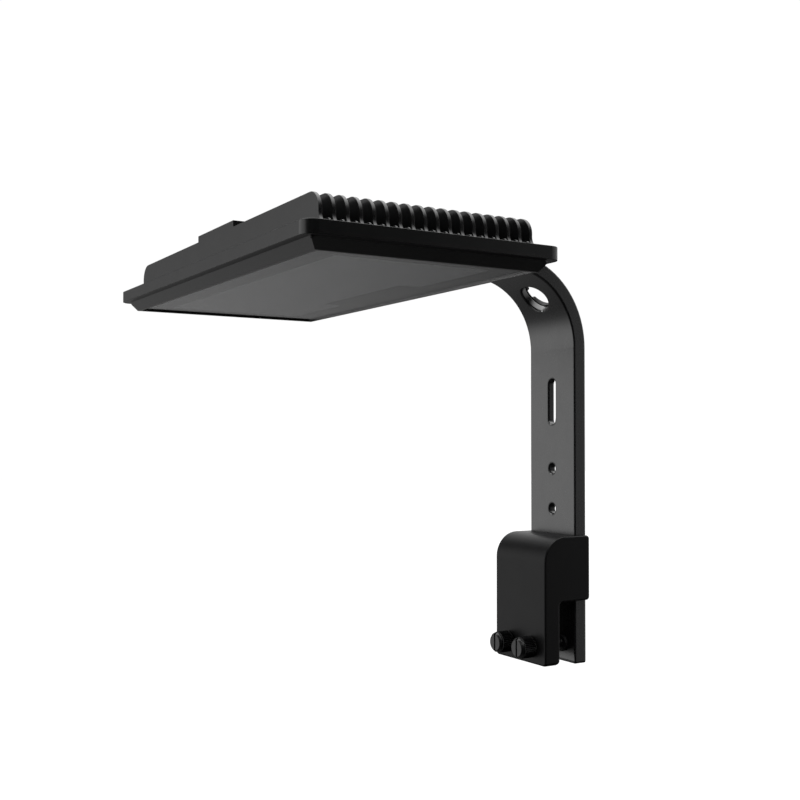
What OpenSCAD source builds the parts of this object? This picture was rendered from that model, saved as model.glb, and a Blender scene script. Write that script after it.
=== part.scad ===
// Aquarium light on a bent flat arm that clamps over the rim of a glass tank.
// Origin: centre of the clamp's seat on the glass rim. The head reaches along -Y, +Z is up.

/* [Arm] */
// Width of the arm bar
bar_w = 40; // [36:0.5:44]
// Depth of the arm bar from its inner face to the backs of its flanges
bar_t = 8.5; // [7.5:0.1:9]
// Thickness of the bar's web, on its inner side
web_t = 4.8; // [4:0.1:4.8]
// Width of each of the bar's two flanges
flange_w = 5; // [4:0.5:6]
// Radius of the bend on its inner side
bend_r = 40.8; // [36:0.1:44]
// Height of the arm's top face above the seat
arm_top = 191.2; // [180:0.1:200]
// How far the arm reaches below the seat
arm_drop = 35.6; // [34.6:0.1:38]
// Length of the straight stretch that runs into the head
arm_reach = 146; // [140:1:147]
// Diameter of the cable hole in the bend
cable_hole_d = 18; // [14:0.5:18]

/* [Clamp] */
// Glass gap between the clamp's leg and the arm
gap = 12.6; // [10:0.1:13]
// Width of the clamp body
clamp_w = 45.6; // [44:0.1:48]
// Height of the clamp body above the seat
clamp_h = 36.2; // [34:0.1:40]
// How far the clamp's leg reaches below the seat
leg_drop = 34.5; // [32:0.1:35]
// Thickness of the clamp's leg
leg_t = 10.5; // [9.5:0.1:11]
// Radius of the clamp's large front edge
clamp_nose_r = 14; // [10:0.5:15]
// Vertical distance between the arm's screw holes
hole_pitch = 23.1; // [22:0.1:24]

/* [Thumb screws] */
// Diameter of a thumb screw's head
knob_d = 12; // [10:0.5:13]
// Length of a thumb screw's head
knob_l = 10; // [8:0.5:12]
// Distance of each thumb screw from the middle
knob_x = 10.2; // [9:0.1:11]
// Travel of a thumb screw
knob_travel = 12; // [8:0.5:12]

/* [Head] */
// Width of the head
head_w = 243.4; // [236:0.2:260]
// Depth of the head
head_d = 125; // [122:0.2:132]
// Distance from the seat's middle back to the head's rear edge
head_back = 84.3; // [80:0.1:88]
// Height of the head's flange underside above the seat
head_z = 168; // [166:0.5:168]
// Thickness of the head's flange
flange_t = 6; // [5.5:0.1:6]
// Number of cooling fins
fins = 18; // [12:1:18]
// Thickness of a cooling fin
fin_t = 1.7; // [1.5:0.1:2.2]

/* [Light] */
// Thickness of the glass window
glass_t = 2.5; // [2:0.1:2.5]
// Spacing of the LEDs from side to side
led_x = 24; // [22:1:26]
// Spacing of the LEDs from front to back
led_y = 18; // [16:1:18]

/* [Hidden] */
$fn = 64;
eps = 0.01;
run = 0.05;

// arm
bar_in = gap / 2;
bar_back = bar_in + bar_t;
bend_out = bend_r + bar_t;
bend_y = bar_back - bend_out;
bend_z = arm_top - bend_out;
arm_under = arm_top - bar_t;
cable_ring_d = 23;
cable_ring_t = 2;
screw_hole_d = 5.7;
boss_h = 0.5;
screw_boss_d = 10;
screw_zs = [for (i = [0:3]) 4 + hole_pitch * i];
slot_w = 6.2;
slot_l = 25.9;
slot_z = 111.9;

// clamp
leg_in = -bar_in;
clamp_front = leg_in - leg_t;
knob_z = -25.1;
bush_d = 9;
bush_l = 5.4;
pad_d = 9.2;
pad_t = 2;
shaft_d = 6;
tip_d = 4;
tip_t = 0.8;
neck_d = 2.8;
neck_l = 0.6;
pad_face = bar_in - 0.4;
pad_back = pad_face - pad_t;
pad_recess = leg_in - pad_back + knob_travel + 0.5;
m4_d = 4;

// head
head_y1 = -head_back;
head_y0 = head_y1 - head_d;
flange_r = 6;
flange_top = head_z + flange_t;
recess_top = head_z + 3.4;
bezel_h = 4.7;
bezel_bottom = head_z - bezel_h;
bezel_step = 4.1;
bezel_slope = 3.6;
rim_w = 1.5;
glass_z = bezel_bottom + 0.8;
glass_top = glass_z + glass_t;
glass_edge = bezel_step + bezel_slope + rim_w - 0.9;
gasket_w = 4;
recess_edge = glass_edge + gasket_w + 1;

// fins and cradle
fin_y0 = head_y0 + 10.3;
fin_y1 = head_y1 - 9.3;
fin_pitch = (fin_y1 - fin_y0 - fin_t) / (fins - 1);
fin_half = head_w / 2 - 9.8;
fin_top = head_z + 20.3;
fin_nose_r = 8;
fin_flare_r = 5.5;
rib_h = 2.6;
rib_t = 1;
cradle_wall = 3;
cradle_half = bar_w / 2 + cradle_wall + 0.1;
cradle_top = arm_top + 0.1;
cover_t = 2;
cover_top = arm_under - 0.1;
cover_z = cover_top - cover_t;
cover_y0 = fin_y0 + cradle_wall + 2;
cover_y1 = fin_y1 - 1;
boss_d = 13;
lock_ys = [fin_y0 + 39, fin_y0 + 83];
lock_slot_l = 31;
lock_d = 5;
cover_screw_ys = [cover_y0 + 4, cover_y1 - 4];
cover_screw_x = bar_w / 2 - 5;

// circuit boards
pad_sheet_t = 0.4;
board_t = 1.6;
board_top = recess_top - pad_sheet_t;
board_z = board_top - board_t;
led_t = 1;
led_s = 3.4;
led_z = board_z - led_t;
led_cols = [-4:4];
led_rows = [-2:2];
head_mid = (head_y0 + head_y1) / 2;
board_edge = recess_edge + 1;
board_screw_x = 4.5 * led_x - 4;
board_screw_y = 2.5 * led_y;
control_z = flange_top + 2;

// power inlet
inlet_x = 40;
inlet_z = flange_top + 8;
inlet_d = 8;
inlet_y = fin_y1 + 1;
inlet_l = 9;
inlet_body_d = 7.6;
inlet_nut_t = 2.5;
inlet_block_w = 16;
inlet_block_l = 16;
pin_d = 1;
pin_circle_r = 1.6;
duct_y = inlet_y - 14;
duct_w = 4;
duct_z = flange_top + 4.2;
duct_h = 2.4;
wire_d = 1.2;

// ---- shared shapes ----

// Rectangle with round corners, centred.
module round_rect(w, d, r) {
    square([w - 2 * r, d], center = true);
    square([w, d - 2 * r], center = true);
    for (x = [-1, 1], y = [-1, 1])
        translate([x * (w / 2 - r), y * (d / 2 - r)]) circle(r);
}

// Plate over the head's plan, set in from its edge.
module head_plate(inset, r, z, t) {
    translate([0, head_mid, z])
        linear_extrude(t) round_rect(head_w - 2 * inset, head_d - 2 * inset, r);
}

// Corner piece to take away where a square corner becomes round.
module corner_cut(r) {
    difference() {
        square(r + 1);
        circle(r);
    }
}

// Cylinder along -Y that starts at a point.
module along_y(x, y, z, d, l) {
    translate([x, y, z]) rotate([90, 0, 0]) cylinder(h = l, d = d);
}

// Ring along +Z.
module ring(d_out, d_in, h) {
    difference() {
        cylinder(h = h, d = d_out);
        translate([0, 0, -1]) cylinder(h = h + 2, d = d_in);
    }
}

// Round-headed cap screw, its head standing on z = 0, its shank pointing down, with a hex socket.
module cap_screw(d, l, head_d, head_h, socket) {
    difference() {
        union() {
            cylinder(h = head_h, d = head_d);
            translate([0, 0, -l]) cylinder(h = l + eps, d = d);
        }
        translate([0, 0, head_h * 0.45]) cylinder(h = head_h, d = socket, $fn = 6);
    }
}

// Places its children on the LED positions whose pattern number is in the list.
function led_kind(i, j) = (i + 2 * j + 20) % 5;
module at_leds(kinds) {
    for (i = led_cols, j = led_rows)
        if (len([for (k = kinds) if (k == led_kind(i, j)) k]) > 0)
            translate([i * led_x, head_mid + j * led_y, 0]) children();
}

// ---- arm ----

// Cross-section of the bar: a web on the inner side and two flanges behind it.
// x runs outwards from the inner face, y across the width.
module bar_section() {
    translate([0, -bar_w / 2]) square([web_t, bar_w]);
    for (y = [-bar_w / 2, bar_w / 2 - flange_w])
        translate([0, y]) square([bar_t, flange_w]);
}

module bar_blank() {
    translate([0, bar_in, -arm_drop]) rotate([0, 0, 90])
        linear_extrude(bend_z + arm_drop) bar_section();
    translate([0, bend_y, bend_z]) rotate([90, 0, 90])
        rotate_extrude(angle = 90, $fn = 128) translate([bend_r, 0]) bar_section();
    translate([0, bend_y, arm_under]) rotate([90, 0, 0])
        linear_extrude(arm_reach) rotate([0, 0, 90]) bar_section();
}

module in_bend() {
    translate([0, bend_y, bend_z]) rotate([-45, 0, 0]) children();
}

module arm_bar() {
    color("#262729") difference() {
        union() {
            bar_blank();
            for (z = screw_zs)
                along_y(0, bar_in + web_t + boss_h, z, screw_boss_d, web_t / 2 + boss_h);
        }
        in_bend() cylinder(h = bend_out + 5, d = cable_hole_d);
        for (z = screw_zs) along_y(0, bar_back, z, screw_hole_d, bar_t + 1);
        for (z = [-1, 1]) along_y(0, bar_back, slot_z + z * (slot_l - slot_w) / 2, slot_w, bar_t + 1);
        translate([-slot_w / 2, bar_in - 1, slot_z - (slot_l - slot_w) / 2])
            cube([slot_w, bar_t, slot_l - slot_w]);
        for (y = lock_ys) {
            translate([-lock_d / 2 - 0.2, y - lock_slot_l / 2, arm_under - 1])
                cube([lock_d + 0.4, lock_slot_l, web_t + 2]);
            for (s = [-1, 1]) translate([0, y + s * lock_slot_l / 2, arm_under - 1])
                cylinder(h = web_t + 2, d = lock_d + 0.4);
        }
    }
}

// Ring behind the cable hole, seated on the web, with two notches for the cable.
module cable_ring() {
    color("#1c1d1f") difference() {
        in_bend() translate([0, 0, bend_r + web_t - 3])
            ring(cable_ring_d, cable_hole_d, cable_ring_t + 3);
        translate([0, bend_y, bend_z]) rotate([0, 90, 0])
            cylinder(h = bar_w, r = bend_r + web_t, center = true, $fn = 128);
        in_bend() for (s = [0, 180]) rotate([0, 0, s])
            translate([cable_hole_d / 2 - 1, -2.8, bend_r + web_t + 0.4]) cube([6, 5.6, 10]);
    }
}

// ---- clamp ----

// Side outline of the clamp, x along Y and y along Z.
module clamp_side() {
    inner_r = 2;
    difference() {
        union() {
            translate([clamp_front, 0]) square([bar_back + 0.25 - clamp_front, clamp_h]);
            translate([clamp_front, -leg_drop]) square([leg_t, leg_drop + eps]);
            translate([leg_in, -inner_r]) square(inner_r);
        }
        translate([clamp_front + clamp_nose_r, clamp_h - clamp_nose_r])
            rotate([0, 0, 90]) corner_cut(clamp_nose_r);
        translate([leg_in - 2.5, -leg_drop + 2.5]) rotate([0, 0, -90]) corner_cut(2.5);
        translate([bar_back + 0.25 - 2, 2]) rotate([0, 0, -90]) corner_cut(2);
        translate([leg_in + inner_r, -inner_r]) circle(inner_r);
        translate([bar_back + 0.25 - 2, clamp_h - 2]) corner_cut(2);
    }
}

module clamp_body() {
    pocket_w = bar_w + 0.1;
    leg_r = 2;
    color("#17181a") difference() {
        rotate([90, 0, 90]) translate([0, 0, -clamp_w / 2]) linear_extrude(clamp_w) clamp_side();
        translate([-pocket_w / 2, bar_in, -1]) cube([pocket_w, bar_t + 5, clamp_h + 2]);
        for (s = [-1, 1]) translate([s * (clamp_w / 2 - leg_r), bar_in, -leg_drop + leg_r])
            rotate([90, 0, 0]) linear_extrude(bar_in - clamp_front + 1)
                scale([s, -1]) corner_cut(leg_r);
        for (s = [-1, 1]) {
            along_y(s * knob_x, leg_in + 1, knob_z, shaft_d + 0.6, leg_t + 2);
            along_y(s * knob_x, leg_in + 1, knob_z, pad_d + 0.8, pad_recess + 1);
            along_y(s * knob_x, leg_in + 1, knob_z, bush_d, pad_recess + bush_l + 1);
        }
        for (z = [screw_zs[0], screw_zs[1]]) along_y(0, bar_in + 1, z, 6, 9);
    }
}

module clamp_screws() {
    color("#3a3c40") for (z = [screw_zs[0], screw_zs[1]])
        translate([0, bar_in + web_t + boss_h + 0.8, z]) rotate([-90, 0, 0])
            cap_screw(m4_d, 12, 7, 2.4, 2.5);
}

module clamp_washers() {
    color("#8d9095") for (z = [screw_zs[0], screw_zs[1]])
        translate([0, bar_in + web_t + boss_h, z]) rotate([-90, 0, 0]) ring(9, m4_d + 0.2, 0.8);
}

module clamp_inserts() {
    color("#b8964a") for (z = [screw_zs[0], screw_zs[1]])
        translate([0, bar_in - 7, z]) rotate([-90, 0, 0]) ring(6, m4_d + 0.06, 7);
}

module screw_bushes() {
    color("#b8964a") for (s = [-1, 1])
        translate([s * knob_x, leg_in - pad_recess - bush_l, knob_z]) rotate([-90, 0, 0])
            ring(bush_d, shaft_d + 2 * run, bush_l);
}

// ---- thumb screws ----

// Thumb screw: knurled head with a driver slot, a shaft, a neck and a button tip, along +Y.
module thumb_screw(side) {
    chamfer = 1.2;
    slot_depth = 2;
    head_y = clamp_front - 0.1;
    color("#1b1c1e") translate([side * knob_x, head_y - knob_l, knob_z]) rotate([-90, 0, 0])
        difference() {
            union() {
                cylinder(h = chamfer, d1 = knob_d - 2 * chamfer, d2 = knob_d);
                translate([0, 0, chamfer]) cylinder(h = knob_l - 2 * chamfer, d = knob_d);
                translate([0, 0, knob_l - chamfer])
                    cylinder(h = chamfer, d1 = knob_d, d2 = knob_d - 2 * chamfer);
                cylinder(h = pad_back - 0.1 - head_y + knob_l, d = shaft_d);
                cylinder(h = pad_back + neck_l + 2 * run - head_y + knob_l, d = neck_d);
                translate([0, 0, pad_back + neck_l + run - head_y + knob_l])
                    cylinder(h = tip_t - 2 * run, d = tip_d);
            }
            translate([-0.55, -knob_d, -1]) cube([1.1, 2 * knob_d, slot_depth + 1]);
        }
}

module thumb_screw_left() {
    thumb_screw(-1);
}

module thumb_screw_right() {
    thumb_screw(1);
}

// Swivel pad that grips the screw's tip and presses on the glass.
module screw_pad(side) {
    color("#2c2d30") translate([side * knob_x, pad_back, knob_z]) rotate([-90, 0, 0])
        difference() {
            cylinder(h = pad_t, d = pad_d);
            translate([0, 0, -1]) cylinder(h = neck_l + 1 + eps, d = neck_d + 2 * run);
            translate([0, 0, neck_l]) cylinder(h = tip_t, d = tip_d + 2 * run);
        }
}

module screw_pad_left() {
    screw_pad(-1);
}

module screw_pad_right() {
    screw_pad(1);
}

// ---- head castings ----

// Side outline of one fin: round noses at the top ends and small flares at the foot.
module fin_outline() {
    h = fin_top - flange_top;
    flare_sink = 0.2;
    difference() {
        union() {
            translate([-fin_half, -eps]) square([2 * fin_half, h - fin_nose_r + eps]);
            translate([-fin_half + fin_nose_r, 0]) square([2 * (fin_half - fin_nose_r), h]);
            for (s = [-1, 1]) translate([s * (fin_half - fin_nose_r), h - fin_nose_r])
                circle(fin_nose_r);
            for (s = [-1, 1]) scale([s, 1]) translate([fin_half - 1, -eps])
                square([fin_flare_r, fin_flare_r - flare_sink]);
        }
        for (s = [-1, 1])
            translate([s * (fin_half + fin_flare_r - 0.06), fin_flare_r - flare_sink])
                circle(fin_flare_r);
    }
}

// Side outline of the low rib between two fins, round at its top ends.
module rib_outline() {
    half = fin_half + 2.5;
    translate([-half, -eps]) square([2 * half, rib_h / 2 + eps]);
    translate([-half + rib_h / 2, 0]) square([2 * half - rib_h, rib_h]);
    for (s = [-1, 1]) translate([s * (half - rib_h / 2), rib_h / 2]) circle(rib_h / 2);
}

module fin_rows() {
    for (i = [0:fins - 1]) translate([0, fin_y0 + fin_pitch * i + fin_t, flange_top])
        rotate([90, 0, 0]) linear_extrude(fin_t) fin_outline();
    for (i = [0:fins - 2])
        translate([0, fin_y0 + fin_pitch * (i + 0.5) + (fin_t + rib_t) / 2, flange_top])
            rotate([90, 0, 0]) linear_extrude(rib_t) rib_outline();
}

// Hollow between the cradle walls: the control space below and the arm's channel above.
module cradle_hollow() {
    half = bar_w / 2 + 0.1;
    room_half = half - 2;
    y0 = fin_y0 + cradle_wall;
    difference() {
        union() {
            translate([-half, y0, cover_z]) cube([2 * half, head_d, 20]);
            translate([-room_half, cover_y0, flange_top])
                cube([2 * room_half, cover_y1 - cover_y0 - 1, 20]);
        }
        for (y = lock_ys) translate([0, y, flange_top - eps])
            cylinder(h = cover_top - flange_top, d = boss_d);
        for (x = [-1, 1], y = cover_screw_ys) translate([x * cover_screw_x, y, flange_top - eps])
            cylinder(h = cover_z - flange_top, d = 6);
    }
}

module heat_sink() {
    color("#2e2f32") difference() {
        union() {
            head_plate(0, flange_r, head_z, flange_t);
            fin_rows();
            translate([-cradle_half, fin_y0, flange_top - eps])
                cube([2 * cradle_half, fin_y1 - fin_y0, cradle_top - flange_top]);
            translate([inlet_x - inlet_block_w / 2, inlet_y - inlet_block_l - 1, flange_top - eps])
                cube([inlet_block_w, inlet_block_l, fin_top - flange_top - 1]);
            translate([bar_w / 2, duct_y - 2, flange_top - eps])
                cube([inlet_x - bar_w / 2, duct_w + 4, duct_z + duct_h + 1.5 - flange_top]);
        }
        head_plate(recess_edge, 2, head_z - 1, recess_top - head_z + 1);
        cradle_hollow();
        for (y = lock_ys) translate([0, y, cover_top - 6.5]) cylinder(h = 10, d = 8);
        for (x = [-1, 1], y = cover_screw_ys) translate([x * cover_screw_x, y, cover_z - 5])
            cylinder(h = 6, d = 2.6);
        for (x = [-1, 1], y = [-1, 1])
            translate([x * board_screw_x, head_mid + y * board_screw_y, recess_top - 1])
                cylinder(h = 2.6, d = 2.6);
        translate([-9, head_mid - 2.6, recess_top - 1]) cube([18, 5.2, 5]);
        along_y(inlet_x, inlet_y + 5, inlet_z, inlet_body_d, 15);
        translate([inlet_x - 3, duct_y, duct_z]) cube([6, duct_w, inlet_z + 3 - duct_z]);
        translate([bar_w / 2 - 3, duct_y, duct_z]) cube([inlet_x - bar_w / 2 + 3, duct_w, duct_h]);
    }
}

// Bevelled frame under the flange, built from a tapered outline and round corners.
module bezel_solid() {
    r0 = 3;
    w = head_w / 2 - bezel_step;
    d = head_d / 2 - bezel_step;
    n = bezel_slope / bezel_h;
    intersection() {
        translate([0, head_mid, bezel_bottom]) linear_extrude(bezel_h) round_rect(2 * w, 2 * d, r0);
        translate([0, head_mid, bezel_bottom]) rotate([90, 0, 0])
            linear_extrude(2 * d + 2, center = true)
                polygon([[-w, bezel_h], [w, bezel_h], [w - n * bezel_h, 0], [-w + n * bezel_h, 0]]);
        translate([0, head_mid, bezel_bottom]) rotate([90, 0, 90])
            linear_extrude(2 * w + 2, center = true)
                polygon([[-d, bezel_h], [d, bezel_h], [d - n * bezel_h, 0], [-d + n * bezel_h, 0]]);
    }
}

module lower_bezel() {
    color("#2a2b2e") difference() {
        bezel_solid();
        head_plate(bezel_step + bezel_slope + rim_w, 2, bezel_bottom - 1, bezel_h);
        head_plate(glass_edge - 0.1, 2, glass_z, bezel_h);
    }
}

module lens_window() {
    color("#55585c") head_plate(glass_edge, 2, glass_z, glass_t);
}

module lens_gasket() {
    color("#101112") difference() {
        head_plate(glass_edge, 2, glass_top, head_z - glass_top);
        head_plate(glass_edge + gasket_w, 2, glass_top - 1, 5);
    }
}

// ---- light engine ----

// Holes through the board and its sheet: four screws and the link to the control board.
module board_holes() {
    for (x = [-1, 1], y = [-1, 1])
        translate([x * board_screw_x, head_mid + y * board_screw_y, head_z - 1])
            cylinder(h = 8, d = 2.6);
    translate([-9, head_mid - 2.6, head_z - 1]) cube([18, 5.2, 8]);
}

module thermal_pad() {
    color("#9aa0a6") difference() {
        head_plate(board_edge, 2, board_top, pad_sheet_t);
        board_holes();
    }
}

module led_board() {
    color("#e8e9ea") difference() {
        head_plate(board_edge, 2, board_z, board_t);
        board_holes();
    }
}

module led_chip() {
    translate([-led_s / 2, -led_s / 2, led_z]) cube([led_s, led_s, led_t]);
}

module white_leds() {
    color("#f2e27a") at_leds([0, 2]) led_chip();
}

module blue_leds() {
    color("#3a6fd8") at_leds([1, 4]) led_chip();
}

module violet_leds() {
    color("#7a4bd0") at_leds([3]) led_chip();
}

// Clear caps, one under each LED.
module led_lenses() {
    color("#dfe6ea") at_leds([0, 1, 2, 3, 4])
        translate([0, 0, led_z]) mirror([0, 0, 1]) cylinder(h = 1.1, d1 = 7, d2 = 5);
}

module board_screws() {
    color("#b9bcc0") for (x = [-1, 1], y = [-1, 1])
        translate([x * board_screw_x, head_mid + y * board_screw_y, board_z]) mirror([0, 0, 1])
            cap_screw(2.5, 3.2, 4.6, 1.1, 1.6);
}

// Pin header that joins the LED board to the control board.
module board_link() {
    color("#c9a64e") {
        translate([-8, head_mid - 1.6, board_z]) cube([16, 3.2, control_z - board_z]);
    }
}

module control_board() {
    half = bar_w / 2 - 4;
    gap_d = boss_d + 1;
    color("#1f5c3a") difference() {
        translate([-half, cover_y0 + 8, control_z]) cube([2 * half, cover_y1 - cover_y0 - 18, board_t]);
        for (y = lock_ys) translate([0, y, control_z - 1]) cylinder(h = 4, d = gap_d);
    }
}

module control_parts() {
    z = control_z + board_t;
    color("#2b2b30") {
        translate([-14, lock_ys[0] - 17, z]) cube([9, 9, 2.5]);
        translate([4, lock_ys[0] - 16, z]) cube([7, 5, 2]);
        translate([10, lock_ys[0] + 12, z]) cylinder(h = 2.6, d = 6.3);
        translate([-11, lock_ys[0] + 14, z]) cylinder(h = 2.6, d = 7);
        translate([-2, head_mid + 5, z]) cube([8, 6, 1.4]);
        translate([1, lock_ys[1] + 10, z]) cube([6, 6, 2.4]);
        translate([-13, lock_ys[1] + 9, z]) cylinder(h = 2.6, d = 5);
    }
}

module driver_cover() {
    half = bar_w / 2 - 0.2;
    color("#3d3f43") difference() {
        translate([-half, cover_y0 - 1, cover_z]) cube([2 * half, cover_y1 - cover_y0 + 1, cover_t]);
        for (y = lock_ys) translate([0, y, cover_z - 1]) cylinder(h = 4, d = boss_d + 0.2);
        for (x = [-1, 1], y = cover_screw_ys) translate([x * cover_screw_x, y, cover_z - 1])
            cylinder(h = 4, d = 2.6);
        for (x = [-1, 1], y = cover_screw_ys) translate([x * cover_screw_x, y, cover_z + 0.8])
            cylinder(h = 4, d = 5);
    }
}

module cover_screws() {
    color("#b9bcc0") for (x = [-1, 1], y = cover_screw_ys)
        translate([x * cover_screw_x, y, cover_z + 0.8]) cap_screw(2.5, 5, 4.6, 1, 1.5);
}

// ---- arm lock in the head ----

module lock_screws() {
    color("#3a3c40") for (y = lock_ys)
        translate([0, y, arm_under + web_t + 1.05]) cap_screw(lock_d, 10, 8.5, 2.6, 3.4);
}

module lock_washers() {
    color("#8d9095") for (y = lock_ys)
        translate([0, y, arm_under + web_t + 0.05]) ring(11, lock_d + 0.2, 1);
}

module lock_inserts() {
    color("#b8964a") for (y = lock_ys)
        translate([0, y, cover_top - 6.5]) ring(8, lock_d + 0.06, 6.5);
}

// ---- power inlet ----

// Places its children on the four pins of the inlet.
module at_pins() {
    for (a = [45:90:315])
        translate([inlet_x + pin_circle_r * cos(a), 0, inlet_z + pin_circle_r * sin(a)]) children();
}

module power_inlet() {
    color("#2a2a2c") difference() {
        union() {
            along_y(inlet_x, inlet_y + inlet_l, inlet_z, inlet_d, inlet_l + 1 - inlet_nut_t);
            along_y(inlet_x, inlet_y + inlet_l, inlet_z, inlet_body_d, inlet_l + 9.9);
        }
        along_y(inlet_x, inlet_y + inlet_l + 1, inlet_z, 6, 7);
        at_pins() along_y(0, inlet_y + 4, 0, pin_d, 20);
    }
}

module inlet_pins() {
    color("#cdae5a") at_pins() along_y(0, inlet_y + inlet_l - 2, 0, pin_d, inlet_l + 8.5);
}

// Two wires that run from behind the pins through the duct to the control board.
module inlet_wires() {
    color("#8c1f1f") for (s = [-1, 1]) {
        translate([bar_w / 2 - 6, duct_y + duct_w / 2 + 0.9 * s, duct_z + duct_h / 2])
            rotate([0, 90, 0]) cylinder(h = inlet_x + 7.2 - bar_w / 2, d = wire_d);
        translate([inlet_x + pin_circle_r * 0.707, duct_y + duct_w / 2 + 0.9 * s, duct_z + duct_h / 2])
            cylinder(h = inlet_z - duct_z - 1.2, d = wire_d);
    }
}

module inlet_nut() {
    color("#9a9da1") translate([inlet_x, inlet_y - 1, inlet_z]) rotate([-90, 0, 0]) difference() {
        cylinder(h = inlet_nut_t, d = 12.4, $fn = 6);
        translate([0, 0, -1]) cylinder(h = inlet_nut_t + 2, d = inlet_body_d);
    }
}

arm_bar();
cable_ring();
clamp_body();
clamp_screws();
clamp_washers();
clamp_inserts();
screw_bushes();
thumb_screw_left();
thumb_screw_right();
screw_pad_left();
screw_pad_right();
heat_sink();
lower_bezel();
lens_window();
lens_gasket();
thermal_pad();
led_board();
white_leds();
blue_leds();
violet_leds();
led_lenses();
board_screws();
board_link();
control_board();
control_parts();
driver_cover();
cover_screws();
lock_screws();
lock_washers();
lock_inserts();
power_inlet();
inlet_pins();
inlet_nut();
inlet_wires();
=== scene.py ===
import math

import bmesh
import bpy
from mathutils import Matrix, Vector


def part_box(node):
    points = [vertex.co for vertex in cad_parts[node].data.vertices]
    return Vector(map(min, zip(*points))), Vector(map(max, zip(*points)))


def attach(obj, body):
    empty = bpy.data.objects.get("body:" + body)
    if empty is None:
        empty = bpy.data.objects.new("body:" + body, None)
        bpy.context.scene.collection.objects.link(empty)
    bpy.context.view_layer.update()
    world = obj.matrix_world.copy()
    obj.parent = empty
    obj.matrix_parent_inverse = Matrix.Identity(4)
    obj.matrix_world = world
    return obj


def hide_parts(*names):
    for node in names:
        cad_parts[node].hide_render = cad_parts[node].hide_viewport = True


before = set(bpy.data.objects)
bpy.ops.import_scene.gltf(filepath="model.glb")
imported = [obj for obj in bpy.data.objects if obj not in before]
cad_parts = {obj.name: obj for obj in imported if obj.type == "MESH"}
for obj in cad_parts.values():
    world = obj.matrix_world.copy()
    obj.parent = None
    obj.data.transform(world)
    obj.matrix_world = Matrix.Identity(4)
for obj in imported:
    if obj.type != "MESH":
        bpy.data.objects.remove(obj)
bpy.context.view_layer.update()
scene = bpy.context.scene
MM = 0.001

# ---------------------------------------------------------------- camera and studio

CAMERA_AT = Vector((0.49384, -0.38845, 0.0876))
CAMERA_AZIMUTH = math.radians(59.31)
CAMERA_PITCH = math.radians(1.02)
LENS_MM = 48.87
SHIFT_Y = 0.0305
FLOOR_Z = -0.32


def make_camera():
    data = bpy.data.cameras.new("camera")
    data.lens = LENS_MM
    data.sensor_width = 36
    data.shift_y = SHIFT_Y
    data.clip_start = 0.01
    data.clip_end = 50
    camera = bpy.data.objects.new("camera", data)
    forward = Vector((
        -math.sin(CAMERA_AZIMUTH) * math.cos(CAMERA_PITCH),
        math.cos(CAMERA_AZIMUTH) * math.cos(CAMERA_PITCH),
        math.sin(CAMERA_PITCH),
    ))
    camera.location = CAMERA_AT
    camera.rotation_euler = forward.to_track_quat("-Z", "Y").to_euler()
    scene.collection.objects.link(camera)
    scene.camera = camera


make_camera()


# ---------------------------------------------------------------- node helpers


class Nodes:
    """A node tree with short calls for adding, joining and computing."""

    def __init__(self, tree):
        self.tree = tree
        tree.nodes.clear()

    def add(self, kind, **settings):
        node = self.tree.nodes.new(kind)
        for key, value in settings.items():
            setattr(node, key, value)
        return node

    def put(self, socket, value):
        if isinstance(value, bpy.types.NodeSocket):
            self.tree.links.new(value, socket)
        else:
            socket.default_value = value

    def maths(self, operation, *values, clamp=False):
        node = self.add("ShaderNodeMath", operation=operation, use_clamp=clamp)
        for socket, value in zip(node.inputs, values):
            self.put(socket, value)
        return node.outputs[0]

    def ramp(self, value, low, high, to_low=0.0, to_high=1.0):
        node = self.add("ShaderNodeMapRange", interpolation_type="SMOOTHSTEP")
        for socket, given in zip(node.inputs, (value, low, high, to_low, to_high)):
            self.put(socket, given)
        return node.outputs[0]

    def noise(self, vector, scale, detail=2.0, rough=0.5):
        node = self.add("ShaderNodeTexNoise")
        self.put(node.inputs["Vector"], vector)
        node.inputs["Scale"].default_value = scale
        node.inputs["Detail"].default_value = detail
        node.inputs["Roughness"].default_value = rough
        return node.outputs["Fac"]

    def blend(self, factor, a, b):
        node = self.add("ShaderNodeMix", data_type="RGBA")
        self.put(node.inputs["Factor"], factor)
        for name, colour in (("A", a), ("B", b)):
            socket = [s for s in node.inputs if s.name == name and s.type == "RGBA"][0]
            self.put(socket, colour)
        return [s for s in node.outputs if s.type == "RGBA"][0]


def rgb(*values):
    return (*values, 1.0) if len(values) == 3 else (values[0],) * 3 + (1.0,)


# ---------------------------------------------------------------- world and floor

# each box: azimuth from +X, elevation, edge angle, full angle (degrees), strength
FRONT_BOX = (-117, 0, 44, 25, 2.1)
REAR_BOX = (72, 0, 40, 18, 1.0)
BACK_BOX = (125, 38, 48, 15, 1.6)
FAR_BOX = (-170, -18, 58, 8, 0.225)
# height limits, then the values below and above them; BOTTOM_BOX counts downwards
HORIZON = (-0.56, -0.2, 0.02, 1.0)
TOP_BOX = (0.55, 0.95, 0.0, 5.2)
BOTTOM_BOX = (0.75, 0.95, 0.0, 0.15)
AMBIENT = 0.015


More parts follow.
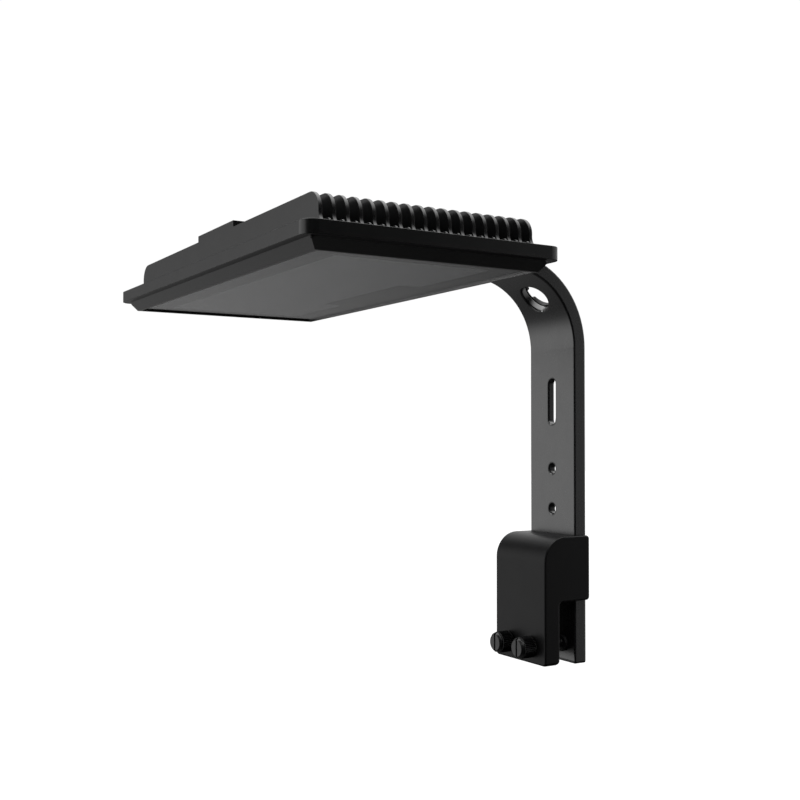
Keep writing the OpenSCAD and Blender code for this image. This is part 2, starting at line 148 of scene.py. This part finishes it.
def make_world():
    """Studio surround: soft boxes all round, dark elsewhere, and white to the camera."""
    world = bpy.data.worlds.new("studio")
    scene.world = world
    world.use_nodes = True
    n = Nodes(world.node_tree)
    way = n.add("ShaderNodeTexCoord").outputs["Generated"]
    split = n.add("ShaderNodeSeparateXYZ")
    n.put(split.inputs[0], way)
    height = split.outputs[2]

    def soft_box(azimuth, elevation, start, full, strength):
        """Glow around a direction given in degrees; start and full are angles off it."""
        dot = n.add("ShaderNodeVectorMath", operation="DOT_PRODUCT")
        n.put(dot.inputs[0], way)
        turn, rise = math.radians(azimuth), math.radians(elevation)
        dot.inputs[1].default_value = (math.cos(turn) * math.cos(rise),
                                       math.sin(turn) * math.cos(rise),
                                       math.sin(rise))
        return n.ramp(dot.outputs["Value"], math.cos(math.radians(start)),
                      math.cos(math.radians(full)), 0.0, strength)

    level = n.maths("MAXIMUM", soft_box(*FRONT_BOX), soft_box(*REAR_BOX))
    level = n.maths("MULTIPLY", level, n.ramp(height, *HORIZON))
    for box in (FAR_BOX, BACK_BOX):
        level = n.maths("MAXIMUM", level, soft_box(*box))
    depth = n.maths("MULTIPLY", height, -1.0)
    ends = n.maths("ADD", n.ramp(height, *TOP_BOX), n.ramp(depth, *BOTTOM_BOX))
    total = n.maths("ADD", n.maths("MAXIMUM", level, ends), AMBIENT)
    seen = n.add("ShaderNodeLightPath").outputs["Is Camera Ray"]
    background = n.add("ShaderNodeBackground")
    white = n.add("ShaderNodeBackground")
    n.put(background.inputs["Strength"], total)
    for node in (background, white):
        node.inputs["Color"].default_value = rgb(1.0)
    white.inputs["Strength"].default_value = 1.02
    mix = n.add("ShaderNodeMixShader")
    n.put(mix.inputs[0], seen)
    n.put(mix.inputs[1], background.outputs[0])
    n.put(mix.inputs[2], white.outputs[0])
    n.put(n.add("ShaderNodeOutputWorld").inputs["Surface"], mix.outputs[0])
    scene.view_settings.view_transform = "Standard"


def make_floor():
    """Wide pale floor well below the light."""
    mesh = bpy.data.meshes.new("floor")
    size = 12.0
    corners = [(x * size, y * size, FLOOR_Z) for x, y in ((-1, -1), (1, -1), (1, 1), (-1, 1))]
    mesh.from_pydata(corners, [], [(0, 1, 2, 3)])
    floor = bpy.data.objects.new("floor", mesh)
    scene.collection.objects.link(floor)
    floor.visible_glossy = False
    floor.visible_diffuse = False
    floor.visible_transmission = False
    floor.visible_shadow = False
    material = bpy.data.materials.new("pale_floor")
    material.use_nodes = True
    n = Nodes(material.node_tree)
    shader = n.add("ShaderNodeBsdfPrincipled")
    shader.inputs["Base Color"].default_value = rgb(0.0)
    shader.inputs["Roughness"].default_value = 0.9
    shader.inputs["Emission Color"].default_value = rgb(1.0)
    shader.inputs["Emission Strength"].default_value = 1.02
    n.put(n.add("ShaderNodeOutputMaterial").inputs["Surface"], shader.outputs[0])
    mesh.materials.append(material)


make_world()
make_floor()


# ---------------------------------------------------------------- materials


def surface(name, base, rough, spread=0.15, grain=0.0, grain_size=0.25, cloud_size=12.0,
            metallic=0.0, rough_spread=0.06, **sockets):
    """Procedural finish: colour clouds and a fine grain, in millimetres, over a plain shader.

    spread is how far the colour varies; grain is the height of the fine bump, in millimetres."""
    material = bpy.data.materials.new(name)
    material.use_nodes = True
    n = Nodes(material.node_tree)
    shader = n.add("ShaderNodeBsdfPrincipled")
    place = n.add("ShaderNodeTexCoord").outputs["Object"]
    cloud = n.noise(place, 1000 / cloud_size, 3.0, 0.6)
    fine = n.noise(place, 1000 / grain_size, 2.0, 0.55)
    mixed = n.maths("ADD", n.maths("MULTIPLY", cloud, 0.6), n.maths("MULTIPLY", fine, 0.4))
    low = tuple(c * (1 - spread) for c in base)
    high = tuple(min(1.0, c * (1 + spread)) for c in base)
    colour = n.blend(n.ramp(mixed, 0.3, 0.7), rgb(*low), rgb(*high))
    n.put(shader.inputs["Base Color"], colour)
    n.put(shader.inputs["Roughness"],
          n.ramp(mixed, 0.3, 0.7, max(0.02, rough - rough_spread), min(1.0, rough + rough_spread)))
    shader.inputs["Metallic"].default_value = metallic
    for key, value in sockets.items():
        shader.inputs[key.replace("_", " ")].default_value = value
    if grain:
        bump = n.add("ShaderNodeBump")
        bump.inputs["Strength"].default_value = 1.0
        bump.inputs["Distance"].default_value = grain * MM
        n.put(bump.inputs["Height"], fine)
        n.put(shader.inputs["Normal"], bump.outputs[0])
    n.put(n.add("ShaderNodeOutputMaterial").inputs["Surface"], shader.outputs[0])
    return material


ANODISED = surface("anodised_black", (0.005, 0.0051, 0.0054), 0.28, spread=0.08, grain=0.0015,
                   grain_size=0.22, rough_spread=0.02, Specular_IOR_Level=0.58)
CASTING = surface("casting_black", (0.0035, 0.0036, 0.0038), 0.30, spread=0.08, grain=0.006,
                  grain_size=0.3, rough_spread=0.015, Specular_IOR_Level=0.3)
BEZEL = surface("bezel_black", (0.004, 0.0041, 0.0043), 0.32, spread=0.08, grain=0.006,
                grain_size=0.3, rough_spread=0.015, Specular_IOR_Level=1.0)
POWDER = surface("powder_black", (0.0035, 0.0035, 0.0037), 0.42, spread=0.1, grain=0.008,
                 grain_size=0.45, rough_spread=0.02, Specular_IOR_Level=0.12)
KNOB = surface("knob_black", (0.004, 0.004, 0.0042), 0.34, grain=0.005, grain_size=0.2,
               Specular_IOR_Level=0.3)
NYLON = surface("nylon_black", (0.004, 0.004, 0.0042), 0.6, grain=0.02, grain_size=0.4,
                Specular_IOR_Level=0.3)
SILICONE = surface("silicone_black", (0.012, 0.012, 0.012), 0.75, grain=0.02, grain_size=0.5)
INK = surface("ink_black", (0.006, 0.006, 0.0062), 0.5, grain=0.004, grain_size=0.3)
THERMAL = surface("thermal_grey", (0.32, 0.34, 0.37), 0.8, grain=0.02, grain_size=0.3)
BOARD_WHITE = surface("solder_mask_white", (0.88, 0.89, 0.88), 0.35, spread=0.04, grain=0.005)
BOARD_GREEN = surface("solder_mask_green", (0.02, 0.16, 0.06), 0.3, spread=0.2, grain=0.01)
CHIP_BLACK = surface("epoxy_black", (0.02, 0.02, 0.022), 0.5, grain=0.01)
STEEL = surface("plain_steel", (0.55, 0.55, 0.56), 0.32, spread=0.08, metallic=1.0, grain=0.004)
OXIDE = surface("black_oxide", (0.035, 0.035, 0.037), 0.38, metallic=0.6, grain=0.006)
BRASS = surface("brass", (0.70, 0.52, 0.24), 0.3, spread=0.1, metallic=1.0, grain=0.004)
NICKEL = surface("nickel", (0.62, 0.61, 0.58), 0.22, spread=0.06, metallic=1.0, grain=0.003)
WIRE = surface("wire_red", (0.35, 0.02, 0.02), 0.5, grain=0.01)
GLASS = surface("smoked_glass", (0.97, 0.975, 0.98), 0.08, spread=0.02, rough_spread=0.01,
                Transmission_Weight=1.0, IOR=1.5)
FROSTED = surface("frosted_sheet", (0.93, 0.935, 0.94), 0.35, spread=0.02, grain=0.004,
                  Transmission_Weight=0.12, IOR=1.4)
CLEAR = surface("clear_silicone", (0.92, 0.94, 0.95), 0.06, spread=0.02, rough_spread=0.02,
                Transmission_Weight=0.9, IOR=1.45)
LED_BODY = surface("led_case_white", (0.82, 0.82, 0.80), 0.4, spread=0.05)
PHOSPHOR = surface("phosphor_yellow", (0.75, 0.55, 0.08), 0.5, spread=0.08, grain=0.01)
DIE_BLUE = surface("die_blue", (0.05, 0.14, 0.65), 0.2, spread=0.15)
DIE_VIOLET = surface("die_violet", (0.22, 0.06, 0.55), 0.2, spread=0.15)

NODE_MATERIALS = {
    "arm_bar": ANODISED, "cable_ring": NYLON, "clamp_body": POWDER, "clamp_screws": OXIDE,
    "clamp_washers": STEEL, "clamp_inserts": BRASS, "screw_bushes": BRASS,
    "thumb_screw_left": KNOB, "thumb_screw_right": KNOB,
    "screw_pad_left": NYLON, "screw_pad_right": NYLON,
    "heat_sink": CASTING, "lower_bezel": BEZEL, "lens_window": GLASS, "lens_gasket": SILICONE,
    "thermal_pad": THERMAL, "led_board": BOARD_WHITE, "white_leds": LED_BODY,
    "blue_leds": LED_BODY, "violet_leds": LED_BODY, "led_lenses": CLEAR, "board_screws": STEEL,
    "board_link": CHIP_BLACK, "control_board": BOARD_GREEN, "control_parts": CHIP_BLACK,
    "driver_cover": ANODISED, "cover_screws": STEEL, "lock_screws": OXIDE,
    "lock_washers": STEEL, "lock_inserts": BRASS, "power_inlet": NYLON, "inlet_pins": BRASS,
    "inlet_nut": NICKEL, "inlet_wires": WIRE,
}


def dress(node, material, edge_mm):
    """Gives a CAD node its material and rounds its sharp edges."""
    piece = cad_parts[node]
    piece.data.materials.clear()
    piece.data.materials.append(material)
    weld = piece.modifiers.new("weld", "WELD")
    weld.merge_threshold = 1e-6
    flat = piece.modifiers.new("flat", "DECIMATE")
    flat.decimate_type = "DISSOLVE"
    flat.angle_limit = math.radians(0.5)
    if edge_mm:
        bevel = piece.modifiers.new("edges", "BEVEL")
        bevel.width = edge_mm * MM
        bevel.segments = 3
        bevel.limit_method = "ANGLE"
        bevel.angle_limit = math.radians(40)
        bevel.use_clamp_overlap = False
        bevel.harden_normals = False
    smooth = piece.modifiers.new("normals", "WEIGHTED_NORMAL")
    smooth.keep_sharp = True
    smooth.weight = 80


EDGES_MM = {"arm_bar": 1.15, "clamp_body": 1.0, "heat_sink": 0.25,
            "lens_window": 0.1, "cable_ring": 0.3, "clamp_screws": 0.25, "clamp_washers": 0.15,
            "lock_screws": 0.25, "lock_washers": 0.15, "cover_screws": 0.15, "board_screws": 0.15,
            "inlet_nut": 0.2, "screw_pad_left": 0.3, "screw_pad_right": 0.3, "control_parts": 0.2,
            "board_link": 0.15}
for node_name, node_material in NODE_MATERIALS.items():
    dress(node_name, node_material, EDGES_MM.get(node_name, 0.0))


# ---------------------------------------------------------------- detail pieces


def make_piece(name, points, faces, material, smooth_below=None):
    """Mesh piece, points in millimetres; edges flatter than smooth_below degrees look smooth."""
    mesh = bpy.data.meshes.new(name)
    mesh.from_pydata([Vector(p) * MM for p in points], [], faces)
    mesh.validate()
    bm = bmesh.new()
    bm.from_mesh(mesh)
    bmesh.ops.recalc_face_normals(bm, faces=bm.faces)
    limit = math.radians(smooth_below or 0)
    for face in bm.faces:
        face.smooth = smooth_below is not None
    for edge in bm.edges:
        edge.smooth = len(edge.link_faces) == 2 and edge.calc_face_angle() < limit
    bm.to_mesh(mesh)
    bm.free()
    mesh.materials.append(material)
    piece = bpy.data.objects.new(name, mesh)
    scene.collection.objects.link(piece)
    return piece


class Shape:
    """Points and faces gathered for one mesh."""

    def __init__(self):
        self.points = []
        self.faces = []

    def loft(self, rings, closed=(True, True)):
        """Joins rings of equal count; closed says whether the first and last ring get a cap."""
        count = len(rings[0])
        base = len(self.points)
        for ring in rings:
            self.points.extend(ring)
        for k in range(len(rings) - 1):
            for i in range(count):
                j = (i + 1) % count
                low = base + k * count
                self.faces.append((low + i, low + j, low + count + j, low + count + i))
        if closed[0]:
            self.faces.append(tuple(base + i for i in reversed(range(count))))
        if closed[1]:
            last = base + (len(rings) - 1) * count
            self.faces.append(tuple(last + i for i in range(count)))

    def turned(self, centre, axis, profile, count, radius_at=None, closed=(True, True)):
        """Turned body: profile holds (distance along axis, radius); axis is "y" or "z"."""
        rings = []
        for along, radius in profile:
            ring = []
            for i in range(count):
                turn = 2 * math.pi * i / count
                r = radius_at(turn, along, radius) if radius_at else radius
                a, b = r * math.cos(turn), r * math.sin(turn)
                offset = (a, along, b) if axis == "y" else (a, b, along)
                ring.append(tuple(c + o for c, o in zip(centre, offset)))
            rings.append(ring)
        self.loft(rings, closed)


def box_mm(node):
    low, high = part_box(node)
    return low / MM, high / MM


SCREW_BODIES = {-1: "left_screw", 1: "right_screw"}
# thumb screw: knurl count and depth, half slot width, lengths of disc, head and tip, thread depth
KNURLS = 36
KNURL_DEPTH = 0.6
SLOT_HALF = 0.55
DISC = 2.0
HEAD = 10.0
NECK_AND_TIP = 1.9
THREAD_DEPTH = 0.5


def make_thumb_screw(side, node, name):
    """Thumb screw with a slotted front disc, a knurled barrel, an M6 thread and a button tip."""
    low, high = box_mm(node)
    radius = (high.x - low.x) / 2
    centre = ((low.x + high.x) / 2, low.y, (low.z + high.z) / 2)
    length = high.y - low.y
    shape = Shape()
    for s in (-1, 1):
        rings = []
        for along, inset, gap in ((0.0, 1.5, 0.12), (0.12, 1.4, 0.0), (1.0, 0.55, 0.0),
                                  (1.25, 0.45, 0.0), (DISC, 0.45, 0.0)):
            r = radius - inset
            reach = math.acos((SLOT_HALF + gap) / r)
            ring = []
            for i in range(41):
                turn = -reach + 2 * reach * i / 40
                ring.append((centre[0] + s * r * math.cos(turn), centre[1] + along,
                             centre[2] + r * math.sin(turn)))
            rings.append(ring)
        shape.loft(rings)

    def knurl(turn, along, r):
        wave = abs((turn * KNURLS / (2 * math.pi)) % 1.0 - 0.5) * 2
        fade_in = max(0.0, (along - DISC - 0.1) / 0.5)
        fade_out = max(0.0, (HEAD - 0.5 - along) / 0.5)
        return r - KNURL_DEPTH * min(1.0, fade_in, fade_out) * wave

    stations = [(DISC, radius - 0.6), (DISC + 0.25, radius - 0.1), (DISC + 0.6, radius),
                (HEAD - 1.0, radius), (HEAD - 0.6, radius - 0.1), (HEAD - 0.25, radius - 0.5),
                (HEAD, radius - 1.0), (HEAD, 3.0)]
    shape.turned(centre, "y", stations, KNURLS * 6, knurl, (True, False))

    thread_from, thread_to = HEAD, length - NECK_AND_TIP

    def thread(turn, along, r):
        fade = min(1.0, max(0.0, (along - thread_from) / 1.0), max(0.0, (thread_to - along) / 0.8))
        wave = abs((along - turn / (2 * math.pi)) % 1.0 - 0.5) * 2
        return r - THREAD_DEPTH * wave * fade

    run = thread_to - thread_from
    steps = int(run / 0.125)
    stations = [(thread_from + run * k / steps, 2.98) for k in range(steps + 1)]
    stations += [(thread_to + 0.25, 2.6), (thread_to + 0.25, 1.4), (length - 0.72, 1.4),
                 (length - 0.72, 1.98), (length - 0.02, 1.98)]
    shape.turned(centre, "y", stations, 48, thread, (False, True))
    piece = make_piece(name, shape.points, shape.faces, KNOB, 32)
    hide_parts(node)
    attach(piece, SCREW_BODIES[side])


make_thumb_screw(-1, "thumb_screw_left", "knurled_screw_left")
make_thumb_screw(1, "thumb_screw_right", "knurled_screw_right")


# inset from the glass edge, gap behind the glass and thickness of the two sheets
MASK_INSET, MASK_GAP, MASK_T = 4.2, 0.02, 0.04
SHEET_INSET, SHEET_GAP, SHEET_T = 4.4, 0.1, 0.4


def make_window_mask():
    """Printed black border on the inner face of the glass, with a tab at the rear middle."""
    glass_low, glass_high = box_mm("lens_window")
    z = glass_high.z + MASK_GAP
    top = z + MASK_T
    outer_x = glass_high.x - MASK_INSET
    y0, y1 = glass_low.y + MASK_INSET, glass_high.y - MASK_INSET
    clear_x, clear_y0, clear_y1 = 100.3, -185.8, -108.5
    tab_x, tab_y = 42.0, -120.0
    outline = [(-outer_x, y0), (outer_x, y0), (outer_x, y1), (-outer_x, y1)]
    hole = [(-clear_x, clear_y0), (clear_x, clear_y0), (clear_x, clear_y1), (tab_x, clear_y1),
            (tab_x - 2, tab_y), (-tab_x + 2, tab_y), (-tab_x, clear_y1), (-clear_x, clear_y1)]
    flat = [(x, y, z) for x, y in outline + hole]
    quads = [(0, 1, 5, 4), (1, 2, 6, 5), (2, 3, 11, 10, 7, 6), (3, 0, 4, 11), (7, 10, 9, 8)]
    count = len(flat)
    points = flat + [(x, y, top) for x, y, _ in flat]
    faces = quads + [tuple(i + count for i in reversed(q)) for q in quads]
    for loop in (list(range(4)), list(range(4, 12))):
        for a, b in zip(loop, loop[1:] + loop[:1]):
            faces.append((a, b, b + count, a + count))
    piece = make_piece("window_mask", points, faces, INK)
    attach(piece, "head")


make_window_mask()


def make_diffuser():
    """Frosted sheet behind the printed border, under the LEDs."""
    glass_low, glass_high = box_mm("lens_window")
    x = glass_high.x - SHEET_INSET
    y0, y1 = glass_low.y + SHEET_INSET, glass_high.y - SHEET_INSET
    face = glass_high.z + SHEET_GAP
    shape = Shape()
    shape.loft([[(-x, y0, z), (x, y0, z), (x, y1, z), (-x, y1, z)] for z in (face, face + SHEET_T)])
    piece = make_piece("diffuser_sheet", shape.points, shape.faces, FROSTED)
    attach(piece, "head")


make_diffuser()

LED_COLUMNS, LED_ROWS, LED_X, LED_Y = 4, 2, 24.0, 18.0


def led_places():
    """Centre and pattern number of every LED."""
    low, high = box_mm("led_board")
    middle = (low.y + high.y) / 2
    for i in range(-LED_COLUMNS, LED_COLUMNS + 1):
        for j in range(-LED_ROWS, LED_ROWS + 1):
            yield (i * LED_X, middle + j * LED_Y), (i + 2 * j + 20) % 5


LENS_R, LENS_RIM, LENS_RIM_R = 3.2, 0.3, 3.5


def make_lenses():
    """A dome of clear silicone under every LED."""
    low, high = box_mm("led_lenses")
    depth = high.z - low.z
    shape = Shape()
    profile = [(0.0, LENS_RIM_R - 0.05), (-LENS_RIM / 2, LENS_RIM_R),
               (-LENS_RIM, LENS_RIM_R - 0.08)]
    for angle in (6, 18, 30, 42, 54, 66, 78, 88):
        t = math.radians(angle)
        profile.append((-LENS_RIM - (depth - LENS_RIM) * math.sin(t), LENS_R * math.cos(t)))
    for (x, y), _ in led_places():
        shape.turned((x, y, high.z), "z", profile, 28)
    piece = make_piece("lens_domes", shape.points, shape.faces, CLEAR, 40)
    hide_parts("led_lenses")
    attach(piece, "head")


def make_dies(name, kinds, material, radius, square):
    """Light-giving patch on the face of each LED of these kinds."""
    _, high = box_mm("led_lenses")
    shape = Shape()
    count, start = (4, math.pi / 4) if square else (24, 0.0)
    for (x, y), kind in led_places():
        if kind in kinds:
            rings = []
            for z, r in ((0.03, radius), (-0.06, radius), (-0.1, radius * 0.95)):
                turns = [start + 2 * math.pi * i / count for i in range(count)]
                rings.append([(x + r * math.cos(t), y + r * math.sin(t), high.z + z)
                              for t in turns])
            shape.loft(rings)
    piece = make_piece(name, shape.points, shape.faces, material)
    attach(piece, "head")


make_lenses()
make_dies("phosphor_dots", (0, 2), PHOSPHOR, 1.25, False)
make_dies("blue_dies", (1, 4), DIE_BLUE, 1.1, True)
make_dies("violet_dies", (3,), DIE_VIOLET, 1.1, True)


# inlet: thread pitch and depth, length and root of the thread, bore and key
INLET_PITCH, INLET_THREAD = 0.75, 0.32
INLET_SLEEVE, INLET_ROOT = 7.5, 3.78
INLET_BORE_R, INLET_BORE = 3.0, 6.0


def make_inlet():
    """Inlet shell with a fine thread, a hollow mouth and a key inside it."""
    low, high = box_mm("power_inlet")
    centre = ((low.x + high.x) / 2, 0.0, (low.z + high.z) / 2)
    radius = (high.x - low.x) / 2
    mouth = high.y

    def thread(turn, along, r):
        if r < radius - 0.05:
            return r
        wave = abs((along / INLET_PITCH - turn / (2 * math.pi)) % 1.0 - 0.5) * 2
        fade = min(1.0, max(0.0, (mouth - 0.4 - along) / 0.4))
        return r - INLET_THREAD * wave * fade

    shape = Shape()
    start = mouth - INLET_SLEEVE
    profile = [(low.y, 2.0), (low.y, INLET_ROOT), (start, INLET_ROOT)]
    profile += [(start + 7.4 * k / 80, radius - 0.01) for k in range(81)]
    profile += [(mouth, radius - 0.2), (mouth, INLET_BORE_R + 0.15), (mouth - 0.15, INLET_BORE_R),
                (mouth - INLET_BORE, INLET_BORE_R), (mouth - INLET_BORE, 2.0)]
    shape.turned(centre, "y", profile, 56, thread)
    key = [(centre[0] + x, y, centre[2] + z) for y in (mouth - 5.9, mouth - 0.8)
           for x, z in ((-0.45, 2.4), (0.45, 2.4), (0.45, 3.1), (-0.45, 3.1))]
    shape.loft([key[:4], key[4:]])
    piece = make_piece("inlet_shell", shape.points, shape.faces, NYLON, 32)
    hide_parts("power_inlet")
    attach(piece, "head")


make_inlet()
